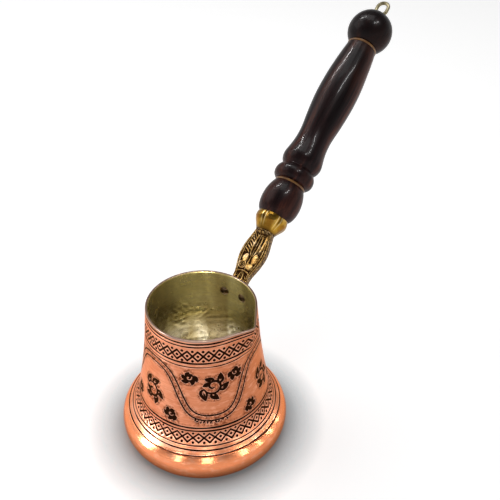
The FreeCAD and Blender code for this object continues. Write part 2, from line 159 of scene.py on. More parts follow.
def mesh_of(name, *parts):
    """One mesh from several tubes, keeping their marks as point attributes."""
    points = np.vstack([part[0] for part in parts]) * MM
    first = np.cumsum([0] + [len(part[0]) for part in parts])
    quads = np.vstack([part[1] + start for part, start in zip(parts, first)])
    fans = np.vstack([part[2] + start for part, start in zip(parts, first)])
    mesh = bpy.data.meshes.new(name)
    mesh.vertices.add(len(points))
    mesh.vertices.foreach_set("co", points.astype(np.float32).ravel())
    corners = np.concatenate([quads.ravel(), fans.ravel()]).astype(np.int32)
    starts = np.concatenate([np.arange(len(quads)) * 4, quads.size + np.arange(len(fans)) * 3])
    mesh.loops.add(len(corners))
    mesh.loops.foreach_set("vertex_index", corners)
    mesh.polygons.add(len(starts))
    mesh.polygons.foreach_set("loop_start", starts.astype(np.int32))
    mesh.update(calc_edges=True)
    mesh.polygons.foreach_set("use_smooth", np.ones(len(starts), bool))
    for label in sorted({label for part in parts for label in part[3]}):
        values = np.zeros(len(points), np.float32)
        for part, start in zip(parts, first):
            if label in part[3]:
                mark = part[3][label]
                values[start:start + mark.size] = mark.ravel()
        mesh.attributes.new(label, "FLOAT", "POINT").data.foreach_set("value", values)
    return mesh


def piece(mesh, material, node, place=None):
    """An object that rides on the frame, stands for a CAD node and wears a material."""
    mesh.materials.append(material)
    if place is not None:
        mesh.transform(place)
    made = bpy.data.objects.new(mesh.name, mesh)
    bpy.context.scene.collection.objects.link(made)
    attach(made, "root")
    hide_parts(node)
    return made


def normals(rows):
    """Outward unit normals of rings of points whose columns run round a closed turn."""
    around = np.roll(rows, -1, axis=1) - np.roll(rows, 1, axis=1)
    up = np.gradient(rows, axis=0)
    out = np.cross(around, up)
    return out / np.maximum(np.linalg.norm(out, axis=-1, keepdims=True), 1e-9)


def waves(seed, azimuth, height, count, shortest, longest):
    """Smooth random swells, about -1 to 1, over the pot's wall in mm along and up."""
    rng = np.random.default_rng(seed)
    total = np.zeros(np.broadcast(azimuth, height).shape)
    for _ in range(count):
        lobes = round(2 * math.pi * MEAN_R / rng.uniform(shortest, longest))
        climb = 2 * math.pi / rng.uniform(shortest, longest) * rng.choice((-1, 1))
        total = total + np.cos(lobes * azimuth + climb * height + rng.uniform(0, 2 * math.pi))
    return total / math.sqrt(count)


# ---- engraving

# heights and line widths of the turned rings
RINGS = ((94.1, 1.05), (92.0, 0.8), (80.6, 1.15), (78.0, 0.6), (35.0, 1.2), (32.5, 1.05),
         (23.4, 0.5), (21.5, 0.55), (19.0, 0.65))
# lattice bands: repeats, azimuth of a crossing, mid height, half height, line width, dot radius
LATTICES = ((35, -51.2, 85.8, 3.2, 1.15, 0.86), (40, -53.0, 27.9, 2.75, 1.0, 0.76))
# serpentine ribbon: repeats, azimuth of a trough, mid height, swing, squareness, half width
WAVE_COUNT, TROUGH, WAVE_Z, WAVE_SWING, WAVE_SQUARE, RIBBON_HALF = 3, -45.0, 58.2, 16.3, 1.6, 1.75
RIBBON_LINE = 0.95

# scrolls of foliage: azimuth from a trough, mid height, size, sense of the curl, first angle
SCROLLS = ((2, 64.0, 9.6, 1, 200), (60, 50.5, 9.2, -1, 150), (-21, 70.5, 4.6, -1, 20),
           (25, 70.0, 4.4, 1, 160), (37, 41.5, 4.2, 1, 190), (83, 42.0, 4.4, -1, -20))
# leaves round a scroll: share of the stem, lean from straight out, relative length
LEAVES = ((0.0, 60, 0.95), (0.13, 35, 0.8), (0.27, 50, 0.85), (0.41, 40, 0.75), (0.55, 55, 0.7),
          (0.69, 30, 0.5))
# stem: reach as a share of the scroll's size, how much of it the curl takes up, half turns, width
STEM_REACH, STEM_CURL, STEM_TURNS, STEM_LINE = 0.62, 0.8, 2.5, 1.5
# leaf: share of the scroll's size, bend and belly as shares of its length, line widths
LEAF_SIZE, LEAF_BEND, LEAF_BELLY = 0.8, 0.3, 0.24
LEAF_UNDER, LEAF_OVER, VEIN_LINE = 1.75, 1.15, 0.85
# azimuths of the short ticks under the ribbon's trough, and their line width
FRINGE = (-60, -57.5, -55, -52.2, -49.6, -46.4, -43, -39.6, -36, -33)
TICK_LINE = 0.95

# depth of the cuts, the soft border of a line, and the pitch of samples along a stroke
GROOVE, EDGE_BLUR, SAMPLE_PITCH = 0.2, 0.34, 0.28
# width of a stroke's ends as a share of its middle
THIN_END = 0.35
# a distance that is past every line
FAR = 9.0
# the leaf band's heights and fade, and the blur of its soot in rows or columns
BAND_LOW, BAND_HIGH, BAND_FADE = 35.5, 78, 1.5
SOOT_REACH, SOOT_WIDTH, SOOT_GAIN = 14, 7.5, 2.6


def ribbon_height(azimuth):
    """Height of the ribbon's middle line at an azimuth in degrees."""
    swing = np.tanh(WAVE_SQUARE * np.cos(np.radians(WAVE_COUNT * (azimuth - TROUGH))))
    return WAVE_Z - WAVE_SWING * swing / math.tanh(WAVE_SQUARE)


def wall_radius(height):
    """Outer radius of the wall at a height above the shoulder."""
    return np.interp(height, WALL_PROFILE[:, 1], WALL_PROFILE[:, 0])


def per_degree(height):
    """Length on the wall, in mm, of one degree of azimuth at a height."""
    return np.radians(wall_radius(height))


def soft_edge(distance):
    """1 inside a line, 0 outside it, from the distance past its edge in mm."""
    return clamp(0.5 - distance / EDGE_BLUR)


class Engraver:
    """Collects inked lines on a grid of azimuths and heights."""

    def __init__(self, azimuths, heights):
        self.azimuths = azimuths
        self.heights = heights
        self.ink = np.zeros((len(heights), len(azimuths)))

    def stamp(self, line, widths):
        """Ink a line of (azimuth, height) samples, each as wide as its own width."""
        reach = widths.max() / 2 + 0.5
        rows = np.flatnonzero((self.heights > line[:, 1].min() - reach)
                              & (self.heights < line[:, 1].max() + reach))
        if not len(rows):
            return
        degree = per_degree(line[:, 1].mean())
        centre = line[:, 0].mean()
        off = (self.azimuths - centre + 180) % 360 - 180
        side = np.abs(line[:, 0] - centre).max() + reach / degree
        columns = np.flatnonzero(np.abs(off) < side)
        across = (off[columns] - (line[:, 0] - centre)[:, None]) * degree
        upward = self.heights[rows] - line[:, 1][:, None]
        nearest = np.full((len(rows), len(columns)), FAR)
        for sample in range(len(line)):
            gap = np.hypot(across[sample], upward[sample][:, None]) - widths[sample] / 2
            np.minimum(nearest, gap, out=nearest)
        patch = np.ix_(rows, columns)
        self.ink[patch] = np.maximum(self.ink[patch], soft_edge(nearest))

    def stroke(self, width, points):
        """A graver's stroke, thin at both ends."""
        points = np.array(points, float)
        degree = per_degree(points[:, 1].mean())
        length = np.hypot(np.diff(points[:, 0]) * degree, np.diff(points[:, 1])).sum()
        count = max(6, int(length / SAMPLE_PITCH))
        line = smooth(points, count)
        t = np.linspace(0, 1, count)
        swell = np.sin(np.pi * clamp(t * 0.92 + 0.06)) ** 0.6
        self.stamp(line, width * (THIN_END + (1 - THIN_END) * swell))

    def stroke_beside(self, spot, degree, width, line):
        """A stroke through points in mm beside a spot, where a degree of azimuth has a length."""
        azimuth, height = spot
        self.stroke(width, [(azimuth + x / degree, height + y) for x, y in line])

    def even_line(self, azimuth, height, width):
        """Ink a line of the same width all along."""
        line = np.stack([azimuth, height], -1)
        for part in np.array_split(line, max(1, len(line) // 60)):
            self.stamp(part, np.full(len(part), width))

    def rings(self):
        """The turned rings, with the little changes of width that a hand tool leaves."""
        turn = np.radians(self.azimuths)
        for number, (height, width) in enumerate(RINGS):
            uneven = 1 + 0.16 * np.cos(7 * turn + number) + 0.1 * np.cos(19 * turn + 2 * number)
            wander = 0.09 * np.cos(3 * turn + 1.7 * number)
            gap = np.abs(self.heights[:, None] - height - wander)
            self.ink = np.maximum(self.ink, soft_edge(gap - width * uneven / 2))

    def lattice(self, repeats, start, mid, half, width, dot):
        """A band of crossed lines with a dot in each diamond and at each crossing's ends."""
        pitch = 360 / repeats
        step = per_degree(mid) * pitch
        place = ((self.azimuths - start) / pitch + 0.5) % 1 - 0.5
        across = place * step
        upward = self.heights[:, None] - mid
        slope = 2 * half / step
        crossing = np.abs(np.abs(upward) - slope * np.abs(across)) / math.hypot(1, slope)
        lines = np.where(np.abs(upward) < half + width / 2, crossing - width / 2, FAR)
        beside = np.abs(across) - step / 2
        diamond = np.hypot(beside, upward) - dot
        ends = np.hypot(across, np.abs(upward) - half * 1.02) - dot
        self.ink = np.maximum(self.ink, soft_edge(np.minimum(lines, np.minimum(diamond, ends))))

    def ribbon(self):
        """The two edges of the serpentine ribbon."""
        azimuth = np.linspace(-180, 180, 1501)
        height = ribbon_height(azimuth)
        along = np.gradient(azimuth) * per_degree(height)
        climb = np.gradient(height)
        length = np.hypot(along, climb)
        for side in (-1, 1):
            offset = side * RIBBON_HALF
            shift = -climb / length * offset / per_degree(height)
            self.even_line(azimuth + shift, height + along / length * offset, RIBBON_LINE)

    def leaf(self, spot, root, heading, length, curl):
        """A pointed leaf with two edges and its veins, from a root in mm beside a spot."""
        degree = per_degree(spot[1])
        way = np.array([math.cos(heading), math.sin(heading)])
        side = np.array([-way[1], way[0]]) * curl
        t = np.linspace(0, 1, 9)[:, None]
        mid_line = root + way * length * t + side * LEAF_BEND * length * t ** 2
        belly = np.sin(np.pi * t ** 0.8) * LEAF_BELLY * length
        for width, edge in ((LEAF_UNDER, -1), (LEAF_OVER, 1)):
            self.stroke_beside(spot, degree, width, mid_line + side * belly * edge)
        for start in mid_line[3:6]:
            end = start + way * 0.14 * length + side * 0.13 * length
            bend = (start + end) / 2 + way * 0.02 * length
            self.stroke_beside(spot, degree, VEIN_LINE, (start, bend, end))

    def scroll(self, start, scroll, rng):
        """A stem that curls inwards, with leaves on its outside."""
        offset, height, size, sense, first = scroll
        spot = (start + offset + rng.normal(0, 0.3), height + rng.normal(0, 0.3))
        t = np.linspace(0, 1, 16)
        angle = math.radians(first) + sense * STEM_TURNS * math.pi * t
        reach = STEM_REACH * size * (1 - STEM_CURL * t)
        stem = np.stack([reach * np.cos(angle), reach * np.sin(angle)], -1)
        self.stroke_beside(spot, per_degree(height), STEM_LINE, stem)
        for share, lean, length in LEAVES:
            root = np.array([np.interp(share, t, stem[:, axis]) for axis in (0, 1)])
            out = np.interp(share, t, angle) + sense * math.radians(lean)
            self.leaf(spot, root, out, length * size * LEAF_SIZE * rng.uniform(0.9, 1.1), sense)

    def tick(self, azimuth, turn, rng):
        """A short slanting tick under the ribbon."""
        top = float(ribbon_height(azimuth)) - RIBBON_HALF - rng.uniform(0.7, 1.3)
        low = top - rng.uniform(0.6, 1.3)
        lean = rng.uniform(-0.8, 0.8)
        start = azimuth + turn
        self.stroke(TICK_LINE, [(start, top), (start + lean, (top + low) / 2), (start + 2 * lean, low)])

    def bay(self, turn, rng):
        """The scrolls of one bay and of the arch beside it, and the ticks under the ribbon."""
        for scroll in SCROLLS:
            self.scroll(turn + TROUGH, scroll, rng)
        for azimuth in FRINGE:
            self.tick(azimuth, turn, rng)


# ---- pot

WALL_PROFILE = np.vstack([
    arc((SHOULDER_R, SHOULDER_Z), (NECK_R, NECK_Z), -COVE_DIP, 60),
    arc((NECK_R, NECK_Z), (CONE_R, CONE_Z), -WALL_DIP, 80)[1:],
    [(RIM_R, RIM_Z)],
])


def evened(profile, pitch):
    """A profile resampled at an even pitch along its length."""
    gone = np.concatenate([[0], np.cumsum(np.hypot(*np.diff(profile, axis=0).T))])
    steps = np.linspace(0, gone[-1], max(2, round(gone[-1] / pitch)))
    return np.stack([np.interp(steps, gone, profile[:, k]) for k in (0, 1)], -1)


def spout_growth(height, turn, radius):
    """How far the spout pushes the wall out at each height and azimuth (radians)."""
    climb = clamp((height - SPOUT_FOOT_Z) / (RIM_Z - SPOUT_FOOT_Z))
    corner = radius + SPOUT_REACH * climb ** SPOUT_FADE
    opening = np.arccos(clamp(radius / corner))
    off = np.sqrt(((turn + np.pi) % (2 * np.pi) - np.pi) ** 2 + SPOUT_NOSE ** 2)
    pushed = radius / np.cos(np.clip(opening - off, 0, 1.2))
    return np.where(off < opening, pushed - radius, 0.0)


def turned_rows(profile, turn):
    """Rings of points for a profile of (radius, height), with the spout raised in them."""
    radius, height = profile[:, :1], profile[:, 1:]
    grown = radius + spout_growth(height, turn, np.maximum(radius, 1.0)) * (radius > SPOUT_INNER_R)
    return round_rows(grown, turn, height)


def crowded(ink, heights):
    """How thickly each place of the leaf band is worked, 0 to 1: the ink, blurred."""
    steps = np.arange(-SOOT_REACH, SOOT_REACH + 1)
    kernel = np.exp(-(steps / SOOT_WIDTH) ** 2)
    kernel /= kernel.sum()
    blurred = sum(weight * np.roll(ink, step, axis=1) for step, weight in zip(steps, kernel))
    padded = np.pad(blurred, ((SOOT_REACH, SOOT_REACH), (0, 0)), "edge")
    blurred = sum(weight * padded[row:row + len(ink)] for row, weight in enumerate(kernel))
    above = clamp((heights - BAND_LOW) / BAND_FADE)
    below = clamp((BAND_HIGH - heights) / BAND_FADE)
    return clamp(blurred * SOOT_GAIN) * (above * below)[:, None]


def pot_profile():
    """The pot's (radius, height) outline, and the parts of it that are outside and engraved."""
    bottom = np.array([(2.0, 0.35), (20.0, 0.35), (40.0, 0.35), (47.4, 0.3), (48.3, 0.0), (48.9, 0.0),
                       (49.5, 0.25), (49.9, 0.8)])
    foot = arc((BASE_R, 0.0), (SHOULDER_R, SHOULDER_Z), FOOT_BULGE, 200)
    foot = evened(foot[foot[:, 1] > 1.1], 0.75)
    wall = evened(WALL_PROFILE, ROW_PITCH)
    wall = np.vstack([wall[wall[:, 1] < RIM_Z - 0.7], (RIM_R + 0.04, RIM_Z - 0.5)])
    lip = np.array([(RIM_R, RIM_Z - 0.25), (RIM_R - 0.12, RIM_Z - 0.08), (RIM_R - 0.3, RIM_Z),
                    (RIM_R - 0.75, RIM_Z), (RIM_R - 1.1, RIM_Z - 0.03), (RIM_R - COPPER, RIM_Z - 0.2)])
    inner = np.array([
        (RIM_R - COPPER, RIM_Z - 3), (CONE_R - COPPER, CONE_Z), (36.5, 55.0), (NECK_R - COPPER, NECK_Z),
        (42.5, 23.5), (SHOULDER_R - COPPER, SHOULDER_Z), (51.6, 14.0), (51.9, 8.0),
        (BASE_R - COPPER, FLOOR), (30.0, FLOOR), (2.0, FLOOR)])
    first = len(bottom) + len(foot)
    last = first + len(wall)
    return np.vstack([bottom, foot, wall, lip, inner]), slice(len(bottom), last), slice(first, last)


def engraved(turn, heights):
    """The ink of the whole engraving, on a grid of heights and azimuths (radians)."""
    engraver = Engraver(np.degrees(turn), heights)
    engraver.rings()
    for lattice in LATTICES:
        engraver.lattice(*lattice)
    engraver.ribbon()
    for bay in range(WAVE_COUNT):
        engraver.bay(bay * 360 / WAVE_COUNT, RANDOM)
    return engraver.ink


def make_pot(material):
    """The engraved copper pot, a closed shell down to the hidden side under its tin."""
    turn = full_turn(COLUMNS)
    profile, outer, wall = pot_profile()
    rows = turned_rows(profile, turn)
    ink, soot, tinned = (np.zeros(rows.shape[:2]) for _ in range(3))
    ink[wall] = engraved(turn, profile[wall, 1])
    soot[wall] = crowded(ink[wall], profile[wall, 1])
    tinned[wall.stop - 2:] = 1.0
    relief = -GROOVE * ink
    beaten = waves(3, turn, profile[outer, 1:], 14, 9, 30)
    relief[outer] += np.minimum(0.03 * (beaten - 2), 0)
    rows = rows + normals(rows) * relief[..., None]
    mesh = mesh_of("copper_pot", tube(rows, ink=ink, tinned=tinned, soot=soot))
    return piece(mesh, material, "pot_body")


def make_lining(material):
    """The tinned inside: turned lines near the mouth, beaten facets lower down."""
    turn = full_turn(360)
    in_off = COPPER + TIN
    seen = evened(np.vstack([
        [(RIM_R - COPPER + 0.25, RIM_Z - 0.1), (RIM_R - COPPER - 0.05, RIM_Z - 0.12),
         (RIM_R - in_off, RIM_Z - 0.5), (CONE_R - in_off, CONE_Z)],
        arc((CONE_R - in_off, CONE_Z), (NECK_R - in_off, NECK_Z), WALL_DIP, 20)[1:],
        arc((NECK_R - in_off, NECK_Z), (SHOULDER_R - in_off, SHOULDER_Z), COVE_DIP, 16)[1:],
        arc((SHOULDER_R - in_off, SHOULDER_Z), (BASE_R - in_off - 2.5, FLOOR + TIN), -FOOT_BULGE, 16)[1:],
        [(1.0, FLOOR + TIN)]]), 0.8)
    hidden = np.array([(1.0, FLOOR + 0.02), (BASE_R - COPPER - 1.5, FLOOR + 0.02), (51.4, 8.0), (51.2, 14.0),
                       (SHOULDER_R - COPPER - 0.1, SHOULDER_Z), (42.3, 23.5), (NECK_R - COPPER - 0.1, NECK_Z),
                       (36.4, 55.0), (CONE_R - COPPER - 0.05, CONE_Z), (RIM_R - COPPER - 0.02, RIM_Z - 3)])
    profile = np.vstack([hidden, seen])
    rows = turned_rows(profile, turn)
    radius, height = profile[:, :1], profile[:, 1:]
    depth = clamp((RIM_Z - 6 - height) / 26) ** 1.5
    hammered = waves(8, turn, height, 16, 7, 18) * depth
    drawn = waves(5, turn, height, 8, 16, 44)
    on_floor = waves(21, turn * 0.5, radius * 0.8, 10, 7, 16)
    on_wall = height > FLOOR + TIN + 0.5
    relief = np.where(on_wall, 0.22 * hammered + 0.07 * drawn, 0.1 * on_floor)
    relief[:len(hidden) + 3] = 0
    rows = rows + normals(rows) * np.abs(relief[..., None])
    return piece(mesh_of("tin_inside", tube(rows)), material, "tin_lining")


# ---- turned handle

def lathe(stations, columns=128, dent=None):
    """A turned solid along the handle from (radius, station) pairs, with dents if they are given."""
    turn = full_turn(columns)
    profile = np.array(stations, float)
    radius, station = profile[:, :1], profile[:, 1:]
    grown = radius + (dent(turn, station) if dent else 0 * turn)
    return tube(round_rows(grown, turn, station))


def wood(name, outline, bore, count, material, node):
    """A turned wooden piece from its outline, closed at the bore on both ends."""
    curve = smooth(outline, count)
    stations = np.vstack([[(bore, curve[0][1])], [(curve[0][0] - 0.35, curve[0][1])], curve,
                          [(curve[-1][0] - 0.35, curve[-1][1])], [(bore, curve[-1][1])]])

    def worn(turn, station):
        hand = np.cos(2 * turn + 0.13 * station) + 0.6 * np.cos(3 * turn - 0.21 * station)
        return 0.035 * hand - 0.06

    return piece(mesh_of(name, lathe(stations, dent=worn)), material, node, HANDLE)


KNOB = (
    (9.3, 50.6), (9.6, 53.5), (10.3, 55.6), (12.0, 58.2), (13.1, 61.8), (13.5, 66.0), (13.25, 70.2),
    (12.4, 74.0), (11.3, 77.0), (10.4, 78.7))
GRIP = (
    (10.4, 80.4), (11.9, 81.3), (13.2, 83.1), (13.65, 85.6), (13.2, 88.2), (12.0, 90.3), (11.15, 91.5),
    (11.7, 92.4), (12.8, 94.4), (13.5, 97.0), (13.45, 99.4), (12.9, 102.4), (12.1, 106.5), (11.5, 111.5),
    (11.35, 117.0), (11.7, 122.5), (12.4, 129.0), (13.1, 137.0), (13.6, 145.0), (13.7, 152.0),
    (13.55, 159.0), (13.1, 166.0), (12.4, 173.0), (11.6, 180.0), (10.8, 186.0), (10.3, 189.3))
# the end ball, the radii of its two necks, and the bore for the eye's sleeve
BALL_R, BALL_AT, BALL_NECK, BALL_TOP, BALL_BORE = 15.3, 203.5, 9.2, 4.2, 3.15


def make_wood(material):
    """The knob, the long grip with its bead, and the end ball."""
    knob = wood("wood_knob_turned", KNOB, BORE, 70, material, "wood_knob")
    grip = wood("wood_grip_turned", GRIP, BORE, 220, material, "wood_grip")
    angles = np.linspace(-math.acos(BALL_NECK / BALL_R), math.acos(BALL_TOP / BALL_R), 60)
    ball = [(BALL_R * math.cos(a), BALL_AT + BALL_R * math.sin(a)) for a in angles]
    ball = [(9.15, 191.0)] + ball + [(3.3, ball[-1][1] + 0.05)]
    return knob, grip, wood("wood_ball_turned", ball, BALL_BORE, 90, material, "wood_ball")


def make_spacers(material):
    """The thin amber rings in the grooves on both sides of the grip."""
    half = 0.8
    for name, node, at in (("amber_ring_low", "spacer_ring_lower", LOWER_RING),
                           ("amber_ring_high", "spacer_ring_upper", UPPER_RING)):
        angles = np.linspace(-math.pi / 2, math.pi / 2, 12)
        rim = [(9.95 + 0.55 * math.cos(a), at + half * math.sin(a)) for a in angles]
        stations = [(BORE, at - half)] + rim + [(BORE, at + half)]
        piece(mesh_of(name, lathe(stations)), material, node, HANDLE)


def make_eye(material):
    """The oval hanging eye of bent wire, with the collar that it stands in."""
    half, low, high, wire = 3.9, 222.7, 224.8, 1.25
    turn = full_turn(96)
    rise = np.where(np.sin(turn) > 0, high, low)
    path = np.stack([half * np.cos(turn), np.zeros_like(turn), rise + half * np.sin(turn)], -1)
    outward = np.stack([np.cos(turn), np.zeros_like(turn), np.sin(turn)], -1)
    around = full_turn(20)
    rows = (path[:, None, :] + wire * (np.cos(around)[None, :, None] * outward[:, None, :]
                                      + np.sin(around)[None, :, None] * np.array([0, 1.0, 0])))
    collar = lathe([(0.5, 216.6), (3.0, 216.6), (3.0, 218.2), (3.35, 218.5), (3.4, 219.0),
                    (3.0, 219.4), (1.9, 219.7), (0.5, 219.8)], 48)
    mesh = mesh_of("wire_eye", tube(rows, looped=True), collar)
    return piece(mesh, material, "hanging_eye", HANDLE)


# ---- ferrule and bracket

# the ferrule's lobes, the station of its neck and the radius that its CAD box allows
LOBES, LOBE_TURN = 6, math.radians(7)
FERRULE_NECK, FERRULE_R = 43.9, 10.98


def make_ferrule(material):
    """The brass cup that holds the wood, beaten into lobes with a scalloped lip."""
    turn = full_turn(240)
    outline = smooth([(5.9, FERRULE_NECK), (6.7, 44.1), (7.6, 45.6), (8.9, 47.8), (10.2, 50.0),
                      (10.85, 52.0), (10.75, 54.0), (10.35, 55.5)], 46)
    inside = np.array([(10.0, 55.7), (9.75, 55.3), (9.9, 53.0), (9.4, 50.9), (6.0, 48.4), (BORE, 48.3),
                       (BORE, 47.1), (5.75, 47.1), (5.75, 44.0)])
    profile = np.vstack([outline, inside])
    radius, station = profile[:, :1], profile[:, 1:]
    # 0 between two lobes and 1 on the middle of each; the bell grows from the neck, outside only
    lobe = np.abs(np.cos(LOBES / 2 * (turn + LOBE_TURN)))
    outside = (np.arange(len(profile)) < len(outline))[:, None]
    bell = clamp((station - FERRULE_NECK) / 7) * outside
    puff = (lobe ** 0.6 - 0.7) * 1.5 * bell * (1 - 0.75 * clamp((station - 52.0) / 3))
    lip = clamp((station - 50) / 5.7) * (1 - lobe ** 0.8) * 0.35
    grown = np.minimum(radius + puff, FERRULE_R)
    rows = round_rows(grown, turn, station - lip)
    # marks for the colours: the dark seams, painted shade at the neck, painted highlights on the lobes'
    # flanks and painted shade on their lower middles
    neck = clamp(1 - (station - FERRULE_NECK) / 3.2) * (bell > 0)
    recess = np.maximum(clamp(1 - lobe / 0.2) * bell, neck)
    # painted highlight on the flanks of the lobes
    edge = clamp(1 - np.abs(lobe - 0.34) / 0.15) * bell
    low_half = 1 - clamp((station - 50.6) / 1.8)
    heart = clamp((lobe - 0.55) / 0.35) * bell * low_half
    mesh = mesh_of("petal_ferrule", tube(rows, looped=True, recess=recess, edge=edge, heart=heart))
    return piece(mesh, material, "ferrule", HANDLE)


def ridge(distance, half):
    """A rounded ridge, 1 on its line and 0 past its half width."""
    return np.sqrt(clamp(1 - (distance / half) ** 2))


def leaf_share(s, x, start, end, half, lean=0.0):
    """Distance from a leaf's mid line as a share of its half width, and far past its ends."""
    t = (s - start) / (end - start)
    line = lean * np.sin(np.pi * clamp(t))
    wide = half * np.sqrt(clamp(np.sin(np.pi * clamp(t) ** 0.85)))
    return np.where((t > 0) & (t < 1), np.abs(x - line) / np.maximum(wide, 0.05), FAR)


def solid(share):
    """A smooth raised leaf, 0 to 1, from its distance share."""
    return ridge(np.minimum(share, 1), 1.0)


def outlined(share, band):
    """A leaf with a raised edge and a low inside, from its distance share."""
    return ridge(share - 1 + band, band)


def highest(*parts):
    """The highest of several reliefs at each place."""
    return np.maximum.reduce(np.broadcast_arrays(*parts))


def borders(s, x, half):
    """The beaded rim and the thin fillet inside it."""
    edge = np.abs(x) / half
    beads = 0.88 + 0.12 * np.cos(2 * np.pi * s / 1.5)
    return np.maximum(beads * ridge(edge - 0.93, 0.08), 0.9 * ridge(edge - 0.76, 0.06))


def root_leaf(s, x):
    """The small leaf at the wall, the steps on both sides of it and the arched fillet over it."""
    share = leaf_share(s, x, 6.0, 14.2, 2.1)
    beside = np.abs(x)
    steps = 0.5 + 0.5 * np.cos(2 * np.pi * (s + 0.8 * beside) / 1.9)
    zone = (beside > 2.5) & (beside < 4.0) & (s > 2) & (s < 12.5)
    arch = s - 14.9 + 0.075 * x ** 2
    return highest(outlined(share, 0.32), 0.75 * ridge(x, 0.3) * (share < 0.65), 0.75 * steps * zone,
                   ridge(arch, 0.55) * (beside < 5.0))


def rosettes(s, x):
    """A ringed flower on the left and a smooth dome on the right."""
    gap = np.hypot(x + 3.0, s - 18.6)
    dome = np.hypot((x - 2.5) / 1.05, s - 18.2)
    return highest(0.95 * ridge(gap - 2.35, 0.5), 0.85 * ridge(gap - 1.25, 0.36), 0.9 * ridge(gap, 0.6),
                   ridge(dome, 2.5) ** 0.5)


def petals(s, x):
    """Two smooth petals side by side over the flower and the dome, and a thorn between them."""
    left = leaf_share(s, x + 2.6, 20.6, 26.4, 2.2, -0.5)
    right = leaf_share(s, x - 3.4, 20.4, 27.6, 2.4, 0.5)
    thorn = leaf_share(s, x - 0.35, 15.5, 25.0, 0.75)
    return highest(solid(left) ** 0.5, solid(right) ** 0.5, 0.9 * solid(thorn))


def spear(s, x):
    """The long pointed leaf up the middle, with a grained inside."""
    share = leaf_share(s, x - 0.3, 25.0, 44.0, 2.9)
    grain = 0.3 + 0.3 * np.cos(2 * np.pi * s / 1.25) * np.cos(2 * np.pi * x / 1.1)
    inside = np.maximum(grain, 0.85 * ridge(x - 0.3, 0.36))
    return np.maximum(outlined(share, 0.27), inside * (share < 0.5))


def side_fronds(s, x, half):
    """Curled ridges on the left, a long ridge and a mesh on the right, chevrons at the top."""
    left = (x < -2.4) & (x > -0.68 * half) & (s > 27.0) & (s < 37.5)
    right = (x > 2.6) & (x < 0.68 * half) & (s > 27.6) & (s < 33)
    ribs = 0.5 + 0.5 * np.cos(2 * np.pi * (s + 0.55 * x + 0.09 * (x + 5) ** 2) / 2.2)
    long_ridge = leaf_share(s, x - 4.1, 29.0, 43.0, 1.1, 0.8)
    mesh = 0.45 + 0.45 * np.cos(2 * np.pi * (s + x) / 1.6) * np.cos(2 * np.pi * (s - x) / 1.6)
    chevrons = 0.5 + 0.5 * np.cos(2 * np.pi * (s - 1.1 * np.abs(x)) / 2.1)
    return highest(0.95 * ribs ** 0.7 * left, solid(long_ridge) ** 0.6, mesh * right,
                   0.85 * chevrons * (s > 38) * (np.abs(x) > 1.0))


def cast_relief(s, x, half):
    """Height of the cast pattern on the arm, 0 to 1, at station s and x across."""
    return highest(borders(s, x, half), root_leaf(s, x), rosettes(s, x), petals(s, x), spear(s, x),
                   side_fronds(s, x, half))


def wall_cone(height):
    """Outer radius of the wall's straight upper part."""
    return RIM_R + (RIM_Z - height) * (CONE_R - RIM_R) / (RIM_Z - CONE_Z)


def arm():
    """The flat leaf-shaped arm with cast relief on its face, from the wall to the boss."""
    face, back, turnover = 120, 36, 8
    thick, sunk, bite, end = 2.7, 0.85, 0.55, 46.6
    flat, bulge = 0.985, 0.015
    rounded = np.linspace(0, np.pi, turnover + 2)[1:-1]
    side = flat + bulge * np.sin(rounded)
    across = np.concatenate([np.linspace(-flat, flat, face), side, np.linspace(flat, -flat, back), -side])
    upward = np.concatenate([np.ones(face), np.cos(rounded), -np.ones(back), -np.cos(rounded)])
    on_face = np.concatenate([np.ones(face), np.zeros(turnover), np.zeros(back), np.zeros(turnover)])
    t = np.linspace(0, 1, 300)
    widths = ((0.0, 4.9), (8.0, 5.3), (13.0, 5.7), (17.0, 6.8), (22.0, 8.1), (27.5, 8.75), (33.0, 8.3),
              (38.0, 7.2), (43.0, 6.2), (47.0, 5.7))
    curve = smooth(widths, 200)
    tall = thick * upward
    # the root slides along the handle until its outline lies just inside the wall
    wall_s = np.zeros_like(across)
    for _ in range(20):
        x = across * widths[0][1]
        y = (ROOT.y / MM) + wall_s * ALONG.y + tall * -UNDER.y
        z = (ROOT.z / MM) + wall_s * ALONG.z + tall * -UNDER.z
        wall_s = wall_s - (np.hypot(x, y) - (wall_cone(z) - bite)) / ALONG.y * 0.8
    s = wall_s + (end - wall_s) * t[:, None]
    half = np.interp(s, curve[:, 0], curve[:, 1])
    x = across * half
    relief = cast_relief(s, x, half)
    fall = 1 - 0.12 * np.abs(across) ** 4
    up = tall * fall
    up = up - sunk * (1 - relief) * on_face
    grain = 0.05 * np.cos(s * 2.1) * np.cos(x * 1.7)
    up = up + grain * (1 - on_face)
    # black patina in the hollows of the relief, and painted shade on the arm's sides and back
    recess = np.where(on_face > 0, 1 - clamp(relief * 1.12), 0.36)
    return tube(np.stack([x, -up, s], -1), recess=recess)


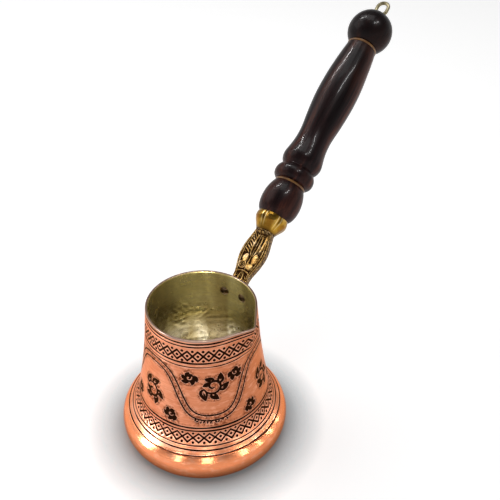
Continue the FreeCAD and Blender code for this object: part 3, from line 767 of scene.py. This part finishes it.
def plate():
    """The curved plate behind the arm, lying on the wall, in handle coordinates."""
    low, high, thick, sweep, bend_r = 77.2, 89.8, 1.95, 17.8, 34
    loop = []
    rounding = np.linspace(0, np.pi / 2, 5)
    corner = 2.4
    for cx, cz, start in ((1, 1, 0), (-1, 1, 90), (-1, -1, 180), (1, -1, 270)):
        for a in np.radians(start) + rounding:
            loop.append((cx, cz, math.cos(a), math.sin(a)))
    loop = np.array(loop)
    reach = math.radians(sweep) * bend_r
    middle_z, tall = (low + high) / 2, (high - low) / 2
    # share of the plate's outline, height over the wall, and mark of patina and painted shade
    steps = ((0.02, thick - 0.45, 0.5), (0.55, thick - 0.45, 0.5), (0.78, thick - 0.4, 1.0),
             (0.84, thick, 0.0), (0.94, thick, 0.0), (1.0, thick - 0.35, 0.2),
             (1.0, 0.02, 0.4), (0.5, 0.02, 0.4), (0.02, 0.02, 0.4))
    rings = []
    marks = []
    for share, out, mark in steps:
        x = (loop[:, 0] * (reach - corner) + loop[:, 2] * corner) * share
        z = middle_z + (loop[:, 1] * (tall - corner) + loop[:, 3] * corner) * share
        radius = wall_cone(z) + out
        turn = x / bend_r
        rings.append(np.stack([radius * np.sin(turn), radius * np.cos(turn), z], -1))
        marks.append(np.full(len(loop), mark))
    axes = np.array([ACROSS, UNDER, ALONG])
    rows = (np.array(rings) - np.array(ROOT) / MM) @ axes.T
    return tube(rows, recess=np.array(marks))


def boss():
    """The beaded neck between the arm and the ferrule."""
    stations = smooth([(3.0, 41.0), (5.2, 41.2), (5.9, 42.2), (5.3, 43.1), (5.25, 43.5),
                       (5.72, 44.3), (5.72, 46.2), (5.5, 46.7), (2.3, 46.8)], 60)

    def twist(turn, station):
        return 0.18 * np.cos(14 * turn + 2.2 * station) * (np.abs(station - 42.3) < 0.9)

    made = lathe(stations, 112, twist)
    # the whole neck is darkened a little
    made[3]["recess"] = np.full(len(made[0]), 0.3)
    return made


def make_bracket(material):
    """The cast bracket: plate, relief arm and beaded neck."""
    mesh = mesh_of("cast_bracket", arm(), plate(), boss())
    return piece(mesh, material, "handle_bracket", HANDLE)


# ---- materials

def set_stops(ramp, stops):
    """Gives a colour ramp its (position, colour) stops."""
    while len(ramp.elements) < len(stops):
        ramp.elements.new(0.5)
    for element, (position, colour) in zip(ramp.elements, stops):
        element.position = position
        element.color = (*colour, 1)


class Material:
    """A principled material whose nodes are laid out in a few calls."""

    def __init__(self, name, metallic=0.0):
        self.made = bpy.data.materials.new(name)
        self.made.use_nodes = True
        self.tree = self.made.node_tree
        self.shader = self.tree.nodes["Principled BSDF"]
        self.shader.inputs["Metallic"].default_value = metallic
        self.place = self.tree.nodes.new("ShaderNodeTexCoord").outputs["Object"]

    def node(self, kind, links=(), **values):
        """A node with its inputs set from values and linked from sockets, by name."""
        made = self.tree.nodes.new(kind)
        for label, value in values.items():
            made.inputs[label].default_value = value
        for label, source in links:
            self.tree.links.new(source, made.inputs[label])
        return made

    def noise(self, scale, stretch=(1, 1, 1), detail=4.0, rough=0.55):
        """Noise with features of about 1 / scale metres, pulled out where stretch is small."""
        mapping = self.node("ShaderNodeMapping", [("Vector", self.place)], Scale=stretch)
        made = self.node("ShaderNodeTexNoise", [("Vector", mapping.outputs[0])],
                         Scale=scale, Detail=detail, Roughness=rough)
        return made.outputs["Fac"]

    def along(self, axis):
        """The position along one of the object's axes, in metres."""
        return self.node("ShaderNodeSeparateXYZ", [("Vector", self.place)]).outputs[axis]

    def mark(self, label):
        """A point attribute of the mesh."""
        made = self.node("ShaderNodeAttribute")
        made.attribute_name = label
        return made.outputs["Fac"]

    def ramp(self, factor, *stops):
        """A colour ramp from (position, colour) stops."""
        made = self.node("ShaderNodeValToRGB", [("Fac", factor)])
        set_stops(made.color_ramp, stops)
        return made.outputs["Color"]

    def span(self, factor, low, high, start=0.0, end=1.0):
        """A number that runs from start to end as the factor goes from low to high."""
        made = self.node("ShaderNodeMapRange", [("Value", factor)])
        for label, value in (("From Min", low), ("From Max", high), ("To Min", start), ("To Max", end)):
            made.inputs[label].default_value = value
        return made.outputs["Result"]

    def maths(self, operation, first, second):
        """Two numbers, put together."""
        made = self.node("ShaderNodeMath")
        made.operation = operation
        for socket, value in zip(made.inputs, (first, second)):
            if isinstance(value, (int, float)):
                socket.default_value = value
            else:
                self.tree.links.new(value, socket)
        return made.outputs[0]

    def mix(self, factor, first, second):
        """One colour laid over another by a factor."""
        made = self.node("ShaderNodeMix")
        made.data_type = "RGBA"
        self.tree.links.new(factor, made.inputs[0])
        for socket, value in ((made.inputs[6], first), (made.inputs[7], second)):
            if isinstance(value, tuple):
                socket.default_value = (*value, 1)
            else:
                self.tree.links.new(value, socket)
        return made.outputs[2]

    def tint(self, tone, colour, factor, low, high, amount):
        """A tone that takes on a colour, up to an amount, as the factor goes from low to high."""
        return self.mix(self.span(factor, low, high, 0, amount), tone, colour)

    def bump(self, height, depth, strength, under=None):
        """A bump of a depth in metres, over another bump."""
        links = [("Height", height)] + ([("Normal", under)] if under else [])
        return self.node("ShaderNodeBump", links, Distance=depth, Strength=strength).outputs[0]

    def finish(self, **links):
        """Links sockets to the shader's inputs and gives the material."""
        for label, source in links.items():
            self.tree.links.new(source, self.shader.inputs[label.replace("_", " ")])
        return self.made


def copper():
    """Burnished copper with black in its engraving, soot round it and a tinned lip, with painted highlights
    beside the cuts and painted shade towards the spout.
    """
    made = Material("copper", metallic=1.0)
    ink, tinned, soot = made.mark("ink"), made.mark("tinned"), made.mark("soot")
    tone = made.ramp(made.noise(55, detail=3), (0.32, (0.68, 0.24, 0.125)), (0.7, (0.84, 0.36, 0.21)))
    streak = made.noise(30, (1, 1, 38), detail=3)
    tone = made.tint(tone, (0.50, 0.135, 0.05), streak, 0.42, 0.62, 0.4)
    # painted shade: darker and browner towards the spout; redder on the foot
    tone = made.tint(tone, (0.40, 0.125, 0.045), made.along("X"), -0.005, 0.035, 0.6)
    tone = made.tint(tone, (0.86, 0.28, 0.115), made.along("Z"), 0.0205, 0.0185, 0.7)
    mottle = made.noise(190, (1, 1, 2.2), detail=5)
    tone = made.tint(tone, (0.9, 0.45, 0.29), mottle, 0.5, 0.68, 0.4)
    specks = made.span(made.noise(620, detail=5, rough=0.75), 0.44, 0.54)
    grime = made.maths("MULTIPLY", specks, made.span(soot, 0.2, 0.5, 0, 0.95))
    tone = made.mix(grime, tone, (0.17, 0.045, 0.02))
    # a painted highlight along the edges of the cuts
    cut_highlight = made.maths("MULTIPLY", made.span(ink, 0.0, 0.06), made.span(ink, 0.12, 0.3, 0.55, 0))
    tone = made.mix(cut_highlight, tone, (0.92, 0.56, 0.42))
    tone = made.mix(tinned, tone, (0.33, 0.225, 0.175))
    colour = made.mix(made.span(ink, 0.15, 0.5), tone, (0.012, 0.004, 0.002))
    # duller in the cuts and on the worked wall than on the foot
    dull = made.span(ink, 0.2, 0.8, 0, 0.3)
    worked = made.span(made.along("Z"), 0.0185, 0.0205, 0, 0.13)
    rough = made.maths("ADD", made.span(made.noise(160, (1, 1, 9)), 0.3, 0.7, 0.15, 0.24), dull)
    rough = made.maths("ADD", rough, worked)
    lines = made.bump(made.noise(70, (1, 1, 30), detail=2), 0.00012, 0.3)
    planished = made.bump(made.noise(420, detail=3), 0.00006, 0.12, lines)
    made.shader.inputs["Specular Tint"].default_value = (1.0, 0.66, 0.5, 1)
    return made.finish(Base_Color=colour, Roughness=rough, Normal=planished)


def tin():
    """Hot-wiped tin, gone olive and gold with use, with painted light low down, painted reflections and
    painted shade at the sides.
    """
    made = Material("tin", metallic=0.8)
    tone = made.ramp(made.noise(48, (1, 1, 0.6), detail=4), (0.3, (0.47, 0.37, 0.11)),
                     (0.52, (0.6, 0.49, 0.17)), (0.75, (0.72, 0.61, 0.28)))
    wiped = made.noise(34, (1, 1, 22), detail=3)
    tone = made.tint(tone, (0.40, 0.33, 0.15), wiped, 0.42, 0.6, 0.6)
    # painted light: pale and near white low down
    tone = made.tint(tone, (0.88, 0.85, 0.76), made.along("Z"), 0.06, 0.042, 0.85)
    # painted reflections: dark vertical stripes
    reflection_stripes = made.noise(75, (1, 1, 0.12), detail=2)
    tone = made.tint(tone, (0.25, 0.175, 0.05), reflection_stripes, 0.43, 0.58, 0.75)
    # painted shade: darker at the spout and opposite it
    tone = made.tint(tone, (0.25, 0.205, 0.05), made.along("X"), 0.006, 0.026, 0.65)
    tone = made.tint(tone, (0.28, 0.21, 0.055), made.along("X"), -0.014, -0.03, 0.4)
    rough = made.span(made.noise(130, detail=3), 0.3, 0.7, 0.14, 0.3)
    rough = made.maths("ADD", rough, made.span(made.along("Z"), 0.012, 0.005, 0, 0.3))
    lines = made.bump(made.noise(60, (1, 1, 26), detail=2), 0.0002, 0.3)
    pools = made.bump(made.noise(70, (1, 1, 0.8), detail=1), 0.0008, 0.4, lines)
    return made.finish(Base_Color=tone, Roughness=rough, Normal=pools)


def antique_brass():
    """Cast brass with black left in its hollows and painted shade on its sides."""
    made = Material("antique_brass", metallic=1.0)
    tone = made.ramp(made.noise(210, detail=3), (0.3, (0.27, 0.13, 0.03)), (0.5, (0.52, 0.31, 0.1)),
                     (0.68, (0.85, 0.6, 0.32)))
    uneven = made.span(made.noise(750, detail=5, rough=0.7), 0.36, 0.64, -0.2, 0.42)
    # the hollows' black patina and the painted shade on the sides, with uneven dirt over them
    dirt_and_shade = made.maths("ADD", made.mark("recess"), uneven)
    colour = made.mix(made.span(dirt_and_shade, 0.15, 0.58), tone, (0.035, 0.013, 0.004))
    rough = made.span(dirt_and_shade, 0.2, 0.9, 0.3, 0.6)
    cast = made.bump(made.noise(1300, detail=4), 0.00015, 0.7)
    cast = made.bump(made.noise(430, detail=2), 0.0005, 0.7, cast)
    return made.finish(Base_Color=colour, Roughness=rough, Normal=cast)


def gold_brass():
    """Yellow brass, tarnished in patches, with painted shade on the lower middles of its lobes and painted
    highlights along their flanks.
    """
    made = Material("gold_brass", metallic=1.0)
    tone = made.ramp(made.noise(170, detail=3), (0.3, (0.34, 0.16, 0.014)), (0.55, (0.47, 0.26, 0.03)),
                     (0.8, (0.62, 0.41, 0.11)))
    tone = made.tint(tone, (0.14, 0.07, 0.01), made.noise(95, detail=2), 0.45, 0.57, 0.75)
    # painted shade on the lower middle of each lobe
    tone = made.tint(tone, (0.27, 0.11, 0.012), made.mark("heart"), 0, 1, 0.75)
    # painted highlight along the flanks of the lobes
    tone = made.tint(tone, (0.95, 0.74, 0.38), made.mark("edge"), 0.1, 1, 0.7)
    # dark seams between the lobes and painted shade at the neck
    tone = made.tint(tone, (0.07, 0.03, 0.006), made.mark("recess"), 0.35, 1.0, 0.85)
    rough = made.span(made.noise(420), 0.3, 0.7, 0.17, 0.33)
    dents = made.bump(made.noise(260, detail=3), 0.0003, 0.5)
    return made.finish(Base_Color=tone, Roughness=rough, Normal=dents)


def dark_wood():
    """Near-black polished wood with red-brown grain along the handle."""
    made = Material("dark_wood")
    upright = (math.acos(ALONG.z), 0, 0)
    made.place = made.node("ShaderNodeMapping", [("Vector", made.place)], Rotation=upright).outputs[0]
    broad = made.noise(120, (1, 1, 0.055), detail=5, rough=0.6)
    fine = made.noise(620, (1, 1, 0.03), detail=4, rough=0.6)
    patches = made.noise(26, (1, 1, 0.5), detail=2)
    tone = made.ramp(broad, (0.36, (0.005, 0.0022, 0.0027)), (0.52, (0.021, 0.0082, 0.0088)),
                     (0.66, (0.085, 0.026, 0.016)))
    tone = made.tint(tone, (0.1, 0.026, 0.012), patches, 0.52, 0.62, 0.3)
    # the ball is darker; the fine grain is black
    tone = made.tint(tone, (0.004, 0.002, 0.002), made.along("Z"), 0.262, 0.269, 0.7)
    tone = made.tint(tone, (0.004, 0.002, 0.002), fine, 0.45, 0.66, 0.55)
    rough = made.span(fine, 0.3, 0.7, 0.24, 0.42)
    pores = made.bump(fine, 0.0001, 0.25)
    for label, value in (("Specular IOR Level", 0.07), ("Coat Weight", 0.08), ("Coat Roughness", 0.08)):
        made.shader.inputs[label].default_value = value
    return made.finish(Base_Color=tone, Roughness=rough, Normal=pores)


def amber():
    """Brown resin."""
    made = Material("amber")
    tone = made.ramp(made.noise(260, detail=3), (0.3, (0.13, 0.05, 0.01)), (0.7, (0.27, 0.125, 0.03)))
    rough = made.span(made.noise(500), 0.3, 0.7, 0.22, 0.4)
    return made.finish(Base_Color=tone, Roughness=rough)


def plain_metal(name, dark, light, scale):
    """A bare metal, a little uneven in colour and gloss."""
    made = Material(name, metallic=1.0)
    tone = made.ramp(made.noise(scale, detail=4), (0.3, dark), (0.7, light))
    rough = made.span(made.noise(scale * 2), 0.3, 0.7, 0.2, 0.4)
    rubbed = made.bump(made.noise(scale * 3), 0.0001, 0.4)
    return made.finish(Base_Color=tone, Roughness=rough, Normal=rubbed)


def keep_node(node, material):
    """Gives a CAD node that stays in view a finished material."""
    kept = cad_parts[node]
    kept.data.materials.clear()
    kept.data.materials.append(material)


# ---- pieces

POT = make_pot(copper())
LINING = make_lining(tin())
BRASSES = make_bracket(antique_brass()), make_ferrule(gold_brass())
WOODS = make_wood(dark_wood())
make_spacers(amber())
make_eye(plain_metal("pale_brass", (0.26, 0.22, 0.12), (0.46, 0.41, 0.27), 300))
RIVET_METAL = plain_metal("tinned_copper", (0.12, 0.07, 0.04), (0.3, 0.2, 0.12), 500)
for rivet in ("rivet_left", "rivet_right"):
    keep_node(rivet, RIVET_METAL)
keep_node("tie_rod", plain_metal("steel", (0.35, 0.34, 0.33), (0.55, 0.54, 0.52), 250))


# ---- studio

def make_floor():
    """A pale floor that runs far past the view, with a painted contact shadow that darkens it near the pot.
    """
    reach, low = 6.0, -0.0002
    corners = [(x * reach, y * reach, low) for x, y in ((-1, -1), (1, -1), (1, 1), (-1, 1))]
    mesh = bpy.data.meshes.new("floor")
    mesh.from_pydata(corners, [], [(0, 1, 2, 3)])
    made = Material("pale_floor")
    made.shader.inputs["Roughness"].default_value = 0.85
    made.shader.inputs["Emission Strength"].default_value = 0.57
    # painted contact shadow: the floor's colour and glow darken where the pot closes it in
    shadow_mask = made.node("ShaderNodeAmbientOcclusion", Distance=0.028).outputs["AO"]
    shade = made.ramp(shadow_mask, (0.4, (0.14, 0.165, 0.175)), (0.74, (0.34, 0.38, 0.395)),
                      (0.91, (0.6, 0.635, 0.645)), (0.99, (0.88, 0.88, 0.88)))
    mesh.materials.append(made.finish(Base_Color=shade, Emission_Color=shade))
    floor = bpy.data.objects.new("floor", mesh)
    bpy.context.scene.collection.objects.link(floor)


def place_light(name, lamp, azimuth, elevation, distance, aim):
    """Puts a lamp in a direction from the pot, in degrees, and turns it to its aim."""
    turn, climb = math.radians(azimuth), math.radians(elevation)
    way = Vector((math.cos(turn) * math.cos(climb), math.sin(turn) * math.cos(climb), math.sin(climb)))
    light = bpy.data.objects.new(name, lamp)
    light.location = Vector(aim) + way * distance
    light.rotation_mode = "QUATERNION"
    light.rotation_quaternion = way.to_track_quat("Z", "Y")
    bpy.context.scene.collection.objects.link(light)
    return light


def soft_box(name, azimuth, elevation, distance, size, power, roll=0):
    """A rectangular soft box round the pot, turned in its own plane by a roll in degrees."""
    lamp = bpy.data.lights.new(name, "AREA")
    lamp.shape = "RECTANGLE"
    lamp.size, lamp.size_y = size
    lamp.energy = power
    light = place_light(name, lamp, azimuth, elevation, distance, (0, 0.03, 0.06))
    light.rotation_quaternion = light.rotation_quaternion @ Quaternion((0, 0, 1), math.radians(roll))
    return light


def shine_only_on(light, *pieces, diffuse=False):
    """Keeps a lamp to some pieces, in their gloss only unless it is diffuse too."""
    chosen = bpy.data.collections.new(light.name)
    for made in pieces:
        chosen.objects.link(made)
    light.light_linking.receiver_collection = chosen
    light.visible_diffuse = diffuse


# lamps mirrored in the foot: azimuth, elevation, width in metres
FOOT_LAMPS = ((-128, 17, 0.15), (-86, 24, 0.024), (-55, 27, 0.017), (-49, 27, 0.017), (-11, 24, 0.017),
              (-5, 24, 0.017), (13, 19, 0.017), (33, 14, 0.017), (49, 10, 0.017))


def make_lights(pot, lining, brasses, woods):
    """Two soft boxes, lights into the mouth, and lamps for the highlights of pot and handle."""
    soft_box("left_box", -165, 42, 1.3, (1.0, 0.9), 5.0)
    soft_box("top_box", 110, 78, 1.2, (0.5, 0.5), 3.0)
    for azimuth, elevation, width in FOOT_LAMPS:
        lamp = soft_box(f"foot_lamp_{azimuth % 360}", azimuth, elevation, 1.0, (width, 0.8), 90 * width)
        shine_only_on(lamp, pot)
    shine_only_on(soft_box("left_streak", 157, 58, 1.13, (0.02, 0.4), 6.0, 38), *woods)
    shine_only_on(soft_box("right_streak", 14, 65, 1.13, (0.02, 0.46), 5.0, 53), *woods)
    shine_only_on(soft_box("brass_key", -150, 62, 1.1, (0.45, 0.45), 2.2), *brasses)
    shine_only_on(soft_box("mouth_glow", 129, 86, 1.0, (0.5, 0.5), 0.8), lining, diffuse=True)
    shine_only_on(soft_box("mouth_front", -62, 27, 1.0, (0.5, 0.2), 21.0), lining, diffuse=True)
    lamp = bpy.data.lights.new("mouth_spot", "SPOT")
    lamp.energy, lamp.shadow_soft_size = 50, 0.03
    lamp.spot_size, lamp.spot_blend = math.radians(3.6), 0.7
    place_light("mouth_spot", lamp, -51, 74, 1.0, (0.003, -0.003, RIM_Z * MM))


def make_world():
    """A pale room, bright at the horizon and darker overhead."""
    world = bpy.data.worlds.new("room")
    world.use_nodes = True
    nodes, links = world.node_tree.nodes, world.node_tree.links
    place = nodes.new("ShaderNodeTexCoord")
    split = nodes.new("ShaderNodeSeparateXYZ")
    ramp = nodes.new("ShaderNodeValToRGB")
    links.new(place.outputs["Generated"], split.inputs["Vector"])
    links.new(split.outputs["Z"], ramp.inputs["Fac"])
    levels = ((0.0, 0.95), (0.14, 0.95), (0.35, 0.5), (0.65, 0.22))
    set_stops(ramp.color_ramp, [(position, (level,) * 3) for position, level in levels])
    links.new(ramp.outputs["Color"], nodes["Background"].inputs["Color"])
    bpy.context.scene.world = world


def make_camera():
    """A camera at the spout's side, looking down past the mouth along the handle."""
    lens = bpy.data.cameras.new("camera")
    lens.lens, lens.sensor_width = 50.4, 36
    lens.clip_start, lens.clip_end = 0.01, 20
    heading, dip, roll = (math.radians(angle) for angle in (33.84, 34.88, 0.71))
    place = Matrix.Translation((0.2013, -0.2496, 0.3579))
    aim = Matrix.Rotation(heading, 4, "Z") @ Matrix.Rotation(math.pi / 2 - dip, 4, "X")
    camera = bpy.data.objects.new("camera", lens)
    camera.matrix_world = place @ aim @ Matrix.Rotation(roll, 4, "Z")
    bpy.context.scene.collection.objects.link(camera)
    bpy.context.scene.camera = camera


make_floor()
make_lights(POT, LINING, BRASSES, WOODS)
make_world()
make_camera()
bpy.context.scene.view_settings.view_transform = "Standard"
